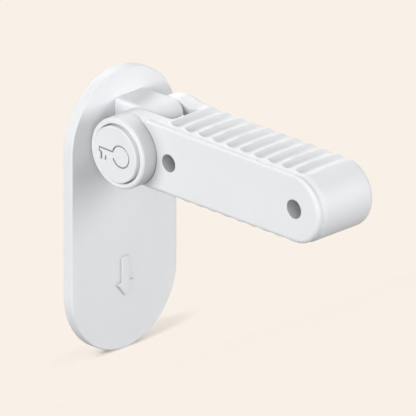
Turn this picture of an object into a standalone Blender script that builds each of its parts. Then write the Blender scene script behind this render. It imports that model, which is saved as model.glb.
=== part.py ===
"""Lever lock for a door: a fold-down arm on a stick-on plate.

The arm stands out below a door lever and keeps it from being pushed down. A round button on the
arm's pivot is pressed to free the arm, which then folds down along the plate.

Metres, +Z up. The door's face is the plane Y = 0 and the lock stands out from it along -Y. The
origin is the centre of the pad's back face. The arm turns about a line along X, and what turns
with it, or lies round that line, is drawn about the pivot.
"""

import math

import bmesh
import bpy

# Plate on the door: a long plate with round ends
PLATE_WIDTH = 0.048
PLATE_HEIGHT = 0.097
PLATE_THICK = 0.004
PLATE_EDGE = 0.0009

# Foam pad in a recess of the plate's back
PAD_THICK = 0.0012
PAD_PROUD = 0.0005
PAD_MARGIN = 0.0030

# Arrow raised on the plate: it shows which way the arm folds
ARROW_TOP = -0.0166
ARROW_SHAFT_LENGTH = 0.0088
ARROW_HEAD_LENGTH = 0.0048
ARROW_SHAFT = 0.0036
ARROW_HEAD = 0.0082
ARROW_RAISED = 0.0004
ARROW_SLOPE = 0.0002

# Pivot and arm
PIVOT_UP = 0.0277
EAR_TO_PLATE = 0.0015
EAR_RISE = 0.0006
NEAR_EAR = 0.0063
FAR_EAR = 0.0045
ARM_HEIGHT = 0.0236
ARM_REACH = 0.0738
ARM_WALL = 0.0022
ARM_EDGE = 0.0015

# Hinge block on the plate, with a round nose in the arm's fork
BLOCK_WIDTH = 0.014
BLOCK_OFFSET = 0.002
BLOCK_EDGE = 0.0010
NOSE_DROP = 0.0009
CHAMBER_WALL = 0.0015

# Cover on the arm's near side, with the collar round the button
COVER_THICK = 0.0024
COVER_EDGE = 0.0018
SEAM_EDGE = 0.0004
COLLAR_HEIGHT = 0.0060
COLLAR_STEP = 0.0004
COLLAR_WALL = 0.0016
COLLAR_RIM = 0.0012
COLLAR_ROOT = 0.0010
CUP_SINK = 0.0022
WEB_THICK = 0.0020
JOURNAL_LENGTH = 0.0018
SLEEVE_WALL = 0.0017

# Finger flutes over the top and the underside of the arm
FLUTE_COUNT = 10
FLUTE_PITCH = 0.0061
FLUTE_WIDTH = 0.0038
FLUTE_DEPTH = 0.0009
FLUTE_LEAD = 0.0048
FLUTE_MARGIN = 0.0008

# Ribs across the inside of the arm
RIB_THICK = 0.0016
MID_POCKETS = 4
POCKET_MARGIN = 0.0020

# Button cap
BUTTON_TRAVEL = 0.0030
BUTTON_PROUD = 0.0003
BUTTON_EDGE = 0.0008
CAP_THICK = 0.0019
CAP_SKIRT = 0.0050
CAP_WALL = 0.0014
POST_RADIUS = 0.0031
POST_LENGTH = 0.0033

# Lock bolt behind the button: its lugs stand against teeth in the block until it is pushed in
KEY_RADIUS = 0.0042
KEY_FLAT = 0.0031
HUB_RADIUS = 0.0055
LUG_COUNT = 3
LUG_DEPTH = 0.0021
LUG_ANGLE = math.radians(6.0)
TOOTH_ANGLE = math.radians(5.0)
LOCK_PLAY = math.radians(1.2)
FIRST_LUG = math.radians(90.0)
TOOTH_ROOT = 0.0005

# Coil spring under the button
SPRING_WIRE = 0.0004
SPRING_RADIUS = 0.0062
SPRING_TURNS = 3.5
SPRING_POINTS = 10

# Screws that hold the cover on the arm, deep in tubes
ARM_SCREW_HEAD = 0.0027
ARM_SCREW_HEIGHT = 0.0020
ARM_SCREW_SHANK = 0.0012
ARM_SCREW_BITE = 0.0080
TUBE_DEPTH = 0.0100
TUBE_RADIUS = 0.0031
TUBE_WALL = 0.0009
TUBE_FLOOR = 0.0014
TUBE_LAND = 0.0011
BOSS_WALL = 0.0019

# Screws from behind that hold the block on the plate
BLOCK_SCREW_HEAD = 0.0027
BLOCK_SCREW_HEIGHT = 0.0013
BLOCK_SCREW_SHANK = 0.0012
BLOCK_SCREW_BITE = 0.0054
BLOCK_SCREW_RISE = 0.0085

# Screw that holds the bolt to the button
BUTTON_SCREW_HEAD = 0.0025
BUTTON_SCREW_HEIGHT = 0.0019
BUTTON_SCREW_SHANK = 0.0011
BUTTON_SCREW_BITE = 0.0026

# Shoulder screw that the far ear turns on
PIVOT_HEAD = 0.0046
PIVOT_HEIGHT = 0.0021
PIVOT_SHOULDER = 0.0030
PIVOT_THREAD = 0.0020
PIVOT_BITE = 0.0034

# Hex socket in each screw's head, as shares of the head
SOCKET_WIDE = 0.5
SOCKET_DEEP = 0.6

# Clearances
SEAT_GAP = 0.0003
SEAM_GAP = 0.0001
RUN_GAP = 0.0003
FORK_GAP = 0.0003
SLOT_GAP = 0.0007
LOCK_GAP = 0.0005
THROUGH = 0.0010

# How finely round stretches are divided
ROUND_STEPS = 48
FINE_STEPS = 24
EDGE_STEPS = 4

# Places along Y, from the door outwards
plate_back = -PAD_PROUD
plate_front = plate_back - PLATE_THICK
pad_front = -PAD_THICK
recess_floor = pad_front - SEAT_GAP
ear_radius = ARM_HEIGHT / 2 + EAR_RISE
pivot_out = ear_radius + EAR_TO_PLATE
pivot = (0.0, plate_front - pivot_out, PIVOT_UP)

# Radii about the pivot
nose_radius = ear_radius - NOSE_DROP
chamber_radius = nose_radius - CHAMBER_WALL
sleeve_radius = chamber_radius - RUN_GAP
collar_radius = ear_radius - COLLAR_STEP
bore_radius = collar_radius - COLLAR_WALL
button_radius = bore_radius - RUN_GAP
lug_radius = chamber_radius - RUN_GAP
tooth_radius = HUB_RADIUS + LOCK_GAP

# Places along X, from the block outwards to the button
block_near = BLOCK_OFFSET - BLOCK_WIDTH / 2
block_far = BLOCK_OFFSET + BLOCK_WIDTH / 2
slot_near = block_near - FORK_GAP
slot_far = block_far + FORK_GAP
arm_near = slot_near - NEAR_EAR
arm_far = slot_far + FAR_EAR
seam = arm_near + COVER_THICK
collar_rim = arm_near - COLLAR_HEIGHT
web_out = arm_near + CUP_SINK
web_in = web_out + WEB_THICK
cap_face = collar_rim - BUTTON_PROUD
cap_in = cap_face + CAP_THICK
post_end = cap_in + POST_LENGTH

# Places along X, from the block's near face inwards through the lock
sleeve_end = block_near + JOURNAL_LENGTH
lug_out = sleeve_end + SEAT_GAP
lug_in = lug_out + LUG_DEPTH
tooth_in = lug_out + BUTTON_TRAVEL - LOCK_GAP
chamber_floor = lug_in + BUTTON_TRAVEL + RUN_GAP
pivot_seat = chamber_floor + PIVOT_HEIGHT + SEAT_GAP
hub_out = web_in + SEAT_GAP

# Angles of the lock's lugs about the pivot
lug_angles = [FIRST_LUG + math.tau * i / LUG_COUNT for i in range(LUG_COUNT)]

# Places along the arm, from the pivot outwards
slot_end = nose_radius + SLOT_GAP
tube_outer = TUBE_RADIUS + TUBE_WALL
tube_relief = tube_outer + SEAT_GAP
rear_screw = slot_end + TUBE_LAND + tube_relief
arm_screws = {"arm_screw_rear": rear_screw, "arm_screw_front": ARM_REACH}
flute_places = [slot_end + FLUTE_LEAD + FLUTE_PITCH * i for i in range(FLUTE_COUNT)]
flute_radius = (FLUTE_WIDTH**2 / 4 + FLUTE_DEPTH**2) / (2 * FLUTE_DEPTH)
flute_middle = ARM_HEIGHT / 2 + flute_radius - FLUTE_DEPTH

# Heights of the block's screws above and below the pivot, and their turn to point into the block
block_screws = {"block_screw_upper": BLOCK_SCREW_RISE, "block_screw_lower": -BLOCK_SCREW_RISE}
INTO_BLOCK = -math.pi / 2

# Places along X in the screw tubes
tube_end = arm_near + TUBE_DEPTH
tube_floor = tube_end - TUBE_FLOOR
boss_top = tube_end + SEAT_GAP


def clear_scene():
    for item in list(bpy.data.objects):
        bpy.data.objects.remove(item, do_unlink=True)


def finish(name, colour, roughness, metallic=0.0):
    material = bpy.data.materials.new(name)
    material.use_nodes = True
    shader = material.node_tree.nodes["Principled BSDF"]
    shader.inputs["Base Color"].default_value = (*colour, 1.0)
    shader.inputs["Roughness"].default_value = roughness
    shader.inputs["Metallic"].default_value = metallic
    return material


def group(name, at, parent=None):
    """An empty on a joint's axis, which carries what moves there."""
    empty = bpy.data.objects.new(name, None)
    bpy.context.scene.collection.objects.link(empty)
    empty.location = at
    empty.parent = parent
    return empty


def place(name, shape, parent, material=None, at=(0.0, 0.0, 0.0), turn=0.0):
    """An object for the bmesh, turned about Z. With no material it is a tool for a Boolean."""
    bmesh.ops.recalc_face_normals(shape, faces=shape.faces)
    mesh = bpy.data.meshes.new(name)
    shape.to_mesh(mesh)
    shape.free()
    item = bpy.data.objects.new(name, mesh)
    bpy.context.scene.collection.objects.link(item)
    item.location = at
    item.rotation_euler.z = turn
    item.parent = parent
    if material:
        mesh.materials.append(material)
        mesh.shade_smooth()
        mesh.set_sharp_from_angle(angle=math.radians(35.0))
    else:
        item.hide_render = True
        item.display_type = "WIRE"
    return item


def combine(item, other, operation):
    modifier = item.modifiers.new(other.name, "BOOLEAN")
    modifier.operation = operation
    modifier.solver = "EXACT"
    modifier.object = other


def cut(item, *tools):
    for tool in tools:
        combine(item, tool, "DIFFERENCE")


def join(item, *tools):
    for tool in tools:
        combine(item, tool, "UNION")


def add_loft(shape, rings):
    """Adds one closed solid: the rings joined in turn, the first and the last one filled."""
    rows = [[shape.verts.new(point) for point in ring] for ring in rings]
    for low, high in zip(rows, rows[1:]):
        for i in range(len(low)):
            j = (i + 1) % len(low)
            shape.faces.new((low[i], low[j], high[j], high[i]))
    shape.faces.new(rows[0])
    shape.faces.new(rows[-1])


def add_turned(shape, profile, y=0.0, z=0.0, steps=ROUND_STEPS):
    """Adds a solid turned about a line along X, from the (x, radius) points of its half section."""
    angles = [math.tau * i / steps for i in range(steps)]
    rows = []
    for x, radius in profile:
        ring = [(x, y + radius * math.cos(a), z + radius * math.sin(a)) for a in angles]
        rows.append([shape.verts.new(point) for point in (ring if radius else ring[:1])])
    for low, high in zip(rows, rows[1:]):
        for i in range(steps):
            j = (i + 1) % steps
            corners = [low[i], low[j]] if len(low) > 1 else low[:]
            corners += [high[j], high[i]] if len(high) > 1 else high[:]
            shape.faces.new(corners)


def loft(rings):
    shape = bmesh.new()
    add_loft(shape, rings)
    return shape


def turned(profile, y=0.0, z=0.0, steps=ROUND_STEPS):
    shape = bmesh.new()
    add_turned(shape, profile, y, z, steps)
    return shape


def rod_profile(start, end, radius):
    return [(start, 0.0), (start, radius), (end, radius), (end, 0.0)]


def add_tube(shape, start, end, inner, outer, y, steps=FINE_STEPS):
    """Adds a tube along X."""
    angles = [math.tau * i / steps for i in range(steps)]
    rows = []
    for x, radius in ((start, inner), (start, outer), (end, outer), (end, inner)):
        ring = [(x, y + radius * math.cos(a), radius * math.sin(a)) for a in angles]
        rows.append([shape.verts.new(point) for point in ring])
    for low, high in zip(rows, rows[1:] + rows[:1]):
        for i in range(steps):
            j = (i + 1) % steps
            shape.faces.new((low[i], low[j], high[j], high[i]))


def rod(start, end, radius, y=0.0, z=0.0, steps=FINE_STEPS):
    return turned(rod_profile(start, end, radius), y, z, steps)


def arc(radius, start, end, steps, y=0.0, z=0.0):
    angles = [start + (end - start) * i / steps for i in range(steps + 1)]
    return [(y + radius * math.cos(a), z + radius * math.sin(a)) for a in angles]


def edge_round(depth):
    """(distance from the face, inset of the outline) pairs down a quarter-round edge."""
    angles = [math.pi / 2 * i / EDGE_STEPS for i in range(EDGE_STEPS + 1)]
    return [(depth * (1 - math.cos(a)), depth * (1 - math.sin(a))) for a in angles]


def across(outline, near, far, near_edge, far_edge):
    """Rings along X of a slab with this (y, z) outline and rounded edges on both faces."""
    steps = [(near + along, inset) for along, inset in edge_round(near_edge)]
    steps += [(far - along, inset) for along, inset in reversed(edge_round(far_edge))]
    return [[(x, y, z) for y, z in outline(inset)] for x, inset in steps]


def long_outline(width, height, inset=0.0):
    """(x, z) points of a plate with round ends."""
    radius = width / 2
    straight = height / 2 - radius
    upper = arc(radius - inset, 0.0, math.pi, FINE_STEPS, 0.0, straight)
    return upper + [(-x, -z) for x, z in upper]


def arm_outline(inset=0.0):
    """(y, z) points of the arm's side view: a round ear, a straight run and a round tip."""
    half = ARM_HEIGHT / 2 - inset
    ear = ear_radius - inset
    past = math.pi / 2 + math.acos(half / ear)
    rear = arc(ear, past, -past, ROUND_STEPS)
    tip = arc(half, -math.pi / 2, -3 * math.pi / 2, FINE_STEPS, -ARM_REACH)
    return rear + tip


def block_outline(inset=0.0):
    """(y, z) points of the hinge block's side view: flat on the plate, round in the fork."""
    radius = nose_radius - inset
    seat = pivot_out - SEAM_GAP
    return arc(radius, math.pi / 2, 3 * math.pi / 2, FINE_STEPS) + [(seat, -radius), (seat, radius)]


def key_outline(spare=0.0):
    """(y, z) points of the bolt's shank: a circle with a flat above and below."""
    radius = KEY_RADIUS + spare
    lean = math.asin((KEY_FLAT + spare) / radius)
    right = arc(radius, -lean, lean, FINE_STEPS // 3)
    return right + [(-y, -z) for y, z in right]


def add_sector(shape, start, end, inner, outer, low, high):
    """Adds a block between two radii and two angles about the pivot."""
    outline = arc(inner, low, high, 2) + arc(outer, high, low, 2)
    add_loft(shape, [[(x, y, z) for y, z in outline] for x in (start, end)])


def screw(name, parent, at, head, height, shank, length, turn=0.0):
    """A screw whose head's outer face is at its origin, pointing along its own +X."""
    profile = [(0.0, 0.0), (0.0, head), (height, head), (height, shank)]
    profile += [(height + length - shank, shank), (height + length, 0.0)]
    item = place(name, turned(profile, steps=FINE_STEPS), parent, steel, at, turn)
    hex_tool = rod(-THROUGH, height * SOCKET_DEEP, head * SOCKET_WIDE, steps=6)
    cut(item, place(name + "_socket", hex_tool, parent, None, at, turn))
    return item


def make_plate():
    front = [(plate_front + along, inset) for along, inset in edge_round(PLATE_EDGE)]
    rings = []
    for y, inset in front + [(plate_back, 0.0)]:
        rings.append([(x, y, z) for x, z in long_outline(PLATE_WIDTH, PLATE_HEIGHT, inset)])
    plate = place("base_plate", loft(rings), None, white)

    margin = PAD_MARGIN - SEAT_GAP
    wide = PLATE_WIDTH - 2 * margin
    tall = PLATE_HEIGHT - 2 * margin
    recess = [[(x, y, z) for x, z in long_outline(wide, tall)] for y in (THROUGH, recess_floor)]
    cut(plate, place("pad_recess", loft(recess), None))

    sink = BLOCK_SCREW_HEIGHT + SEAT_GAP
    wide = BLOCK_SCREW_HEAD + SEAT_GAP
    slim = BLOCK_SCREW_SHANK + SEAT_GAP
    out = PLATE_THICK + THROUGH
    profile = [(-THROUGH, 0.0), (-THROUGH, wide), (sink, wide), (sink, slim), (out, slim), (out, 0.0)]
    holes = bmesh.new()
    for rise in block_screws.values():
        add_turned(holes, profile, 0.0, rise, FINE_STEPS)
    at = (BLOCK_OFFSET, recess_floor, PIVOT_UP)
    cut(plate, place("plate_holes", holes, None, None, at, INTO_BLOCK))
    join(plate, make_arrow())


def make_arrow():
    barb = ARROW_TOP - ARROW_SHAFT_LENGTH
    tip = barb - ARROW_HEAD_LENGTH
    rings = []
    for y, slope in ((plate_front + SEAT_GAP, 0.0), (plate_front - ARROW_RAISED, ARROW_SLOPE)):
        shaft = ARROW_SHAFT / 2 - slope
        head = ARROW_HEAD / 2 - 2 * slope
        right = [(shaft, ARROW_TOP - slope), (shaft, barb - slope), (head, barb - slope)]
        left = [(-x, z) for x, z in reversed(right)]
        rings.append([(x, y, z) for x, z in right + [(0.0, tip + 2 * slope)] + left])
    return place("arrow", loft(rings), None)


def make_pad():
    wide = PLATE_WIDTH - 2 * PAD_MARGIN
    tall = PLATE_HEIGHT - 2 * PAD_MARGIN
    rings = [[(x, y, z) for x, z in long_outline(wide, tall)] for y in (pad_front, 0.0)]
    place("adhesive_pad", loft(rings), None, foam)


def make_block():
    rings = across(block_outline, block_near, block_far, BLOCK_EDGE, BLOCK_EDGE)
    block = place("hinge_block", loft(rings), None, white, pivot)

    hollow = [(block_near - THROUGH, 0.0), (block_near - THROUGH, chamber_radius)]
    hollow += [(chamber_floor, chamber_radius), (chamber_floor, PIVOT_HEAD + RUN_GAP)]
    hollow += [(pivot_seat, PIVOT_HEAD + RUN_GAP), (pivot_seat, PIVOT_SHOULDER + RUN_GAP)]
    hollow += [(block_far + THROUGH, PIVOT_SHOULDER + RUN_GAP), (block_far + THROUGH, 0.0)]
    cut(block, place("lock_chamber", turned(hollow), None, None, pivot))

    pilot = rod_profile(-THROUGH, BLOCK_SCREW_BITE + SEAT_GAP, BLOCK_SCREW_SHANK + SEAT_GAP)
    pilots = bmesh.new()
    for rise in block_screws.values():
        add_turned(pilots, pilot, 0.0, rise, FINE_STEPS)
    at = (BLOCK_OFFSET, plate_front, PIVOT_UP)
    cut(block, place("block_pilots", pilots, None, None, at, INTO_BLOCK))

    clear = LUG_ANGLE / 2 + LOCK_PLAY
    radii = (tooth_radius, chamber_radius + TOOTH_ROOT)
    teeth = bmesh.new()
    for middle in lug_angles:
        above = middle - clear - TOOTH_ANGLE
        below = middle + clear
        add_sector(teeth, lug_out, chamber_floor + TOOTH_ROOT, *radii, above, above + TOOTH_ANGLE)
        add_sector(teeth, lug_out, tooth_in, *radii, below, below + TOOTH_ANGLE)
    join(block, place("lock_teeth", teeth, None, None, pivot))


def make_block_screws():
    length = recess_floor - BLOCK_SCREW_HEIGHT - plate_front + BLOCK_SCREW_BITE
    sizes = (BLOCK_SCREW_HEAD, BLOCK_SCREW_HEIGHT, BLOCK_SCREW_SHANK, length)
    for name, rise in block_screws.items():
        screw(name, None, (BLOCK_OFFSET, recess_floor, PIVOT_UP + rise), *sizes, turn=INTO_BLOCK)


def add_upper_flutes(shape):
    """Flutes over the arm's top: closed by a round end near the seam, open on the far side."""
    start = seam + FLUTE_MARGIN + FLUTE_WIDTH / 2
    ball = arc(flute_radius, math.pi, math.pi / 2, FINE_STEPS // 4, start)
    end = arm_far + THROUGH
    profile = [(start - flute_radius, 0.0)] + ball[1:] + [(end, flute_radius), (end, 0.0)]
    for along in flute_places:
        add_turned(shape, profile, -along, flute_middle, FINE_STEPS)


def add_lower_flutes(shape):
    """Flutes across the arm's underside, open on both sides."""
    profile = rod_profile(arm_near - THROUGH, arm_far + THROUGH, flute_radius)
    for along in flute_places:
        add_turned(shape, profile, -along, -flute_middle, FINE_STEPS)


def make_pockets(arm):
    """The hollows between the arm's cross ribs, open on the side that the cover closes."""
    half = ARM_HEIGHT / 2 - ARM_WALL
    ends = (seam - THROUGH, arm_far - ARM_WALL)
    rear = (slot_end + ARM_WALL, rear_screw + tube_relief + POCKET_MARGIN)
    front = ARM_REACH - tube_relief - POCKET_MARGIN
    first = rear[1] + RIB_THICK
    pitch = (front - first) / MID_POCKETS
    spans = [rear]
    spans += [(first + pitch * i, first + pitch * (i + 1) - RIB_THICK) for i in range(MID_POCKETS)]
    outlines = [[(-low, -half), (-low, half), (-high, half), (-high, -half)] for low, high in spans]
    tip = arc(half, -math.pi / 2, -3 * math.pi / 2, FINE_STEPS, -ARM_REACH)
    outlines.append([(-front, half), (-front, -half)] + tip)

    hollow = bmesh.new()
    for outline in outlines:
        add_loft(hollow, [[(x, y, z) for y, z in outline] for x in ends])
    pockets = place("arm_pockets", hollow, arm)
    pilot = ARM_SCREW_SHANK + SEAT_GAP
    bosses = bmesh.new()
    for along in arm_screws.values():
        end = arm_far - ARM_WALL + THROUGH
        add_tube(bosses, boss_top, end, pilot, pilot + BOSS_WALL, -along)
    cut(pockets, place("screw_bosses", bosses, arm))
    return pockets


def make_arm_body(arm):
    rings = across(arm_outline, seam, arm_far, SEAM_EDGE, ARM_EDGE)
    body = place("arm_body", loft(rings), arm, white)

    tall = ear_radius + THROUGH
    fork = [(tall, -tall), (tall, tall), (-slot_end, tall), (-slot_end, -tall)]
    outside = loft([[(x, y, z) for y, z in fork] for x in (slot_near, slot_far)])
    add_upper_flutes(outside)
    add_lower_flutes(outside)
    cut(body, place("fork_and_flutes", outside, arm), make_pockets(arm))

    eyes = rod(seam - THROUGH, slot_near + THROUGH, chamber_radius, steps=ROUND_STEPS)
    thread_end = slot_far + PIVOT_BITE + SEAT_GAP
    thread = rod_profile(slot_far - THROUGH, thread_end, PIVOT_THREAD + SEAT_GAP)
    add_turned(eyes, thread, steps=FINE_STEPS)
    relief = rod_profile(seam - THROUGH, tube_end + SEAT_GAP / 2, tube_relief)
    add_turned(eyes, relief, -rear_screw, steps=FINE_STEPS)
    cut(body, place("ear_eyes", eyes, arm))


def make_arm_cover(arm):
    rings = across(arm_outline, arm_near, seam - SEAM_GAP, COVER_EDGE, SEAM_EDGE)
    cover = place("arm_cover", loft(rings), arm, white)
    flutes = bmesh.new()
    add_lower_flutes(flutes)
    cut(cover, place("cover_flutes", flutes, arm))

    root = arm_near + COLLAR_ROOT
    rim = [(collar_rim + along, collar_radius - inset) for along, inset in edge_round(COLLAR_RIM)]
    barrel = [(collar_rim, 0.0)] + rim + [(root, collar_radius), (root, sleeve_radius)]
    barrel += [(sleeve_end, sleeve_radius), (sleeve_end, 0.0)]
    raised = turned(barrel)
    for along in arm_screws.values():
        add_turned(raised, rod_profile(root, tube_end, tube_outer), -along, steps=FINE_STEPS)
    join(cover, place("collar_and_tubes", raised, arm))

    hollow = rod(collar_rim - THROUGH, web_out, bore_radius, steps=ROUND_STEPS)
    sleeve_bore = sleeve_radius - SLEEVE_WALL
    add_turned(hollow, rod_profile(web_in, sleeve_end + THROUGH, sleeve_bore))
    slim = ARM_SCREW_SHANK + SEAT_GAP
    hole = [(arm_near - THROUGH, 0.0), (arm_near - THROUGH, TUBE_RADIUS), (tube_floor, TUBE_RADIUS)]
    hole += [(tube_floor, slim), (tube_end + THROUGH, slim), (tube_end + THROUGH, 0.0)]
    for along in arm_screws.values():
        add_turned(hollow, hole, -along, steps=FINE_STEPS)
    cup = place("cup_and_holes", hollow, arm)
    key_ends = (web_out - THROUGH, web_in + THROUGH)
    key = [[(x, y, z) for y, z in key_outline(RUN_GAP)] for x in key_ends]
    join(cup, place("key_hole", loft(key), arm))
    cut(cover, cup)


def make_arm_screws(arm):
    head = tube_floor - SEAT_GAP - ARM_SCREW_HEIGHT
    length = boss_top + ARM_SCREW_BITE - head - ARM_SCREW_HEIGHT
    for name, along in arm_screws.items():
        sizes = (ARM_SCREW_HEAD, ARM_SCREW_HEIGHT, ARM_SCREW_SHANK, length)
        screw(name, arm, (head, -along, 0.0), *sizes)


def make_pivot_screw(arm):
    under = chamber_floor + PIVOT_HEIGHT
    profile = [(chamber_floor, 0.0), (chamber_floor, PIVOT_HEAD), (under, PIVOT_HEAD)]
    profile += [(under, PIVOT_SHOULDER), (slot_far - SEAT_GAP, PIVOT_SHOULDER)]
    profile += [(slot_far - SEAT_GAP, PIVOT_THREAD)]
    profile += [(slot_far + PIVOT_BITE, PIVOT_THREAD), (slot_far + PIVOT_BITE, 0.0)]
    item = place("pivot_screw", turned(profile), arm, steel)
    deep = chamber_floor + PIVOT_HEIGHT * SOCKET_DEEP
    tool = rod(chamber_floor - THROUGH, deep, PIVOT_HEAD * SOCKET_WIDE, steps=6)
    cut(item, place("pivot_screw_socket", tool, arm))


def make_button(button):
    rim = [(cap_face + along, button_radius - inset) for along, inset in edge_round(BUTTON_EDGE)]
    skirt = cap_face + CAP_SKIRT
    inner = button_radius - CAP_WALL
    profile = [(cap_face, 0.0)] + rim + [(skirt, button_radius), (skirt, inner), (cap_in, inner)]
    profile += [(cap_in, POST_RADIUS), (post_end, POST_RADIUS), (post_end, 0.0)]
    cap = place("lock_button", turned(profile), button, white)
    deep = post_end - BUTTON_SCREW_BITE - SEAT_GAP
    pilot = rod(deep, post_end + THROUGH, BUTTON_SCREW_SHANK + SEAT_GAP)
    cut(cap, place("post_pilot", pilot, button))


def make_bolt(button):
    shank_end = post_end + SEAT_GAP
    bolt = place("lock_bolt", rod(hub_out, lug_in, HUB_RADIUS, steps=ROUND_STEPS), button, acetal)
    key = [[(x, y, z) for y, z in key_outline()] for x in (shank_end, hub_out + THROUGH)]
    join(bolt, place("bolt_shank", loft(key), button))
    lugs = bmesh.new()
    for middle in lug_angles:
        low = middle - LUG_ANGLE / 2
        add_sector(lugs, lug_out, lug_in, HUB_RADIUS - TOOTH_ROOT, lug_radius, low, low + LUG_ANGLE)
    join(bolt, place("bolt_lugs", lugs, button))

    seat = lug_in - BUTTON_SCREW_HEIGHT - 2 * SEAT_GAP
    hole = [(shank_end - THROUGH, 0.0), (shank_end - THROUGH, BUTTON_SCREW_SHANK + SEAT_GAP)]
    hole += [(seat, BUTTON_SCREW_SHANK + SEAT_GAP), (seat, BUTTON_SCREW_HEAD + SEAT_GAP)]
    hole += [(lug_in + THROUGH, BUTTON_SCREW_HEAD + SEAT_GAP), (lug_in + THROUGH, 0.0)]
    cut(bolt, place("bolt_bore", turned(hole, steps=FINE_STEPS), button))

    face = lug_in - SEAT_GAP
    length = face - BUTTON_SCREW_HEIGHT - post_end + BUTTON_SCREW_BITE
    sizes = (BUTTON_SCREW_HEAD, BUTTON_SCREW_HEIGHT, BUTTON_SCREW_SHANK, length)
    screw("button_screw", button, (face, 0.0, 0.0), *sizes, turn=math.pi)


def make_spring(button):
    low = cap_in + SEAT_GAP + SPRING_WIRE
    high = web_out - SEAT_GAP - SPRING_WIRE
    count = int(SPRING_TURNS * SPRING_POINTS)
    curve = bpy.data.curves.new("button_spring", "CURVE")
    curve.dimensions = "3D"
    curve.bevel_depth = SPRING_WIRE
    curve.bevel_resolution = 1
    curve.use_fill_caps = True
    line = curve.splines.new("POLY")
    line.points.add(count)
    for i in range(count + 1):
        angle = math.tau * i / SPRING_POINTS
        x = low + (high - low) * i / count
        line.points[i].co = (x, SPRING_RADIUS * math.cos(angle), SPRING_RADIUS * math.sin(angle), 1.0)
    curve.materials.append(steel)
    spring = bpy.data.objects.new("button_spring", curve)
    bpy.context.scene.collection.objects.link(spring)
    spring.parent = button
    gap = (high - low) / SPRING_TURNS - 2 * SPRING_WIRE
    print(f"button spring: least gap between turns {gap * 1000:.2f} mm")


clear_scene()
white = finish("white_plastic", (0.80, 0.81, 0.82), 0.42)
foam = finish("adhesive_foam", (0.72, 0.71, 0.68), 0.85)
steel = finish("screw_steel", (0.62, 0.62, 0.63), 0.35, 1.0)
acetal = finish("grey_acetal", (0.38, 0.39, 0.41), 0.50)

make_plate()
make_pad()
make_block()
make_block_screws()

arm_pivot = group("arm_pivot", pivot)
make_arm_body(arm_pivot)
make_arm_cover(arm_pivot)
make_arm_screws(arm_pivot)
make_pivot_screw(arm_pivot)

button_slide = group("button_slide", (0.0, 0.0, 0.0), arm_pivot)
make_button(button_slide)
make_bolt(button_slide)
make_spring(button_slide)
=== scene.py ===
import math

import bmesh
import bpy
from mathutils import Matrix, Vector


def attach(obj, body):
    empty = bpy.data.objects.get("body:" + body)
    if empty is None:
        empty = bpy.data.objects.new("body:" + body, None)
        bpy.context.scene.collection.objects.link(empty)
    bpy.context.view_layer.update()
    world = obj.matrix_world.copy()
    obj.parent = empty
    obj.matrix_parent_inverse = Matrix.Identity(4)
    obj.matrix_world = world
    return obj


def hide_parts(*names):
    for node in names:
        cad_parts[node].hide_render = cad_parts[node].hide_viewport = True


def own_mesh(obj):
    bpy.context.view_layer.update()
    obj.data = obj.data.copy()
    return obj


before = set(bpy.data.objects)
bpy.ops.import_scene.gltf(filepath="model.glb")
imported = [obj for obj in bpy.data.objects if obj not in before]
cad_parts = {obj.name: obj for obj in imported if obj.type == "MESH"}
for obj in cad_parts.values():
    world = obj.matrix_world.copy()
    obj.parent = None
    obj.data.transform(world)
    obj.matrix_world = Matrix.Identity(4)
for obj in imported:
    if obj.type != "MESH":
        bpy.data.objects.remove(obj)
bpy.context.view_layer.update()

# Pieces are drawn in millimetres and scaled to the frame's metres when they are placed.
# Arm pieces are drawn about the pivot: y points at the door, the arm reaches out along -y.
metresPerMm = 0.001
pivotPoint = Vector((0.0, -18.4, 27.7))
cutPast = 1.0  # how far a cutting or joining shape reaches past the face it meets
weldDistance = 0.0005
mostHoleSides = 6  # small gaps that a Boolean leaves are closed up to this many sides
sharpDegrees = 56.0


def arcPoints(radius, startDegrees, endDegrees, steps, centre=(0.0, 0.0)):
    points = []
    for i in range(steps + 1):
        angle = math.radians(startDegrees + (endDegrees - startDegrees) * i / steps)
        points.append((centre[0] + radius * math.cos(angle), centre[1] + radius * math.sin(angle)))
    return points


def softMax(a, b, width):
    # larger of the two, with the corner between them rounded over this width
    blend = max(width - abs(a - b), 0.0) / width
    return max(a, b) + blend * blend * width / 4


def smoothStep(t):
    t = min(max(t, 0.0), 1.0)
    return t * t * (3 - 2 * t)


def roundOver(depthIn, depthAcross, steps):
    # (distance from the face, inset of the outline) down a rounded edge
    pairs = []
    for i in range(steps + 1):
        angle = math.pi / 2 * i / steps
        pairs.append((depthIn * (1 - math.cos(angle)), depthAcross * (1 - math.sin(angle))))
    return pairs


def outlineNormals(points):
    # outward normals of a closed outline, whichever way round it runs
    area = 0.0
    for (ay, az), (by, bz) in zip(points, points[1:] + points[:1]):
        area += ay * bz - by * az
    turn = 1.0 if area > 0 else -1.0
    normals = []
    for i in range(len(points)):
        ahead = points[(i + 1) % len(points)]
        behind = points[i - 1]
        along = Vector((ahead[0] - behind[0], ahead[1] - behind[1])).normalized()
        normals.append((turn * along.y, -turn * along.x))
    return normals


def roundedOutline(corners, radius, steps):
    # a polygon with each corner rounded
    points = []
    for i, corner in enumerate(corners):
        here = Vector(corner)
        back = (Vector(corners[i - 1]) - here).normalized() * radius
        ahead = (Vector(corners[(i + 1) % len(corners)]) - here).normalized() * radius
        for j in range(steps + 1):
            t = j / steps
            points.append(tuple(here + back * (1 - t) ** 2 + ahead * t**2))
    return points


def addLoft(shape, rings):
    rows = [[shape.verts.new(point) for point in ring] for ring in rings]
    count = len(rows[0])
    for low, high in zip(rows, rows[1:]):
        for i in range(count):
            j = (i + 1) % count
            shape.faces.new((low[i], low[j], high[j], high[i]))
    shape.faces.new(rows[0])
    shape.faces.new(rows[-1])
    return shape


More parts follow.
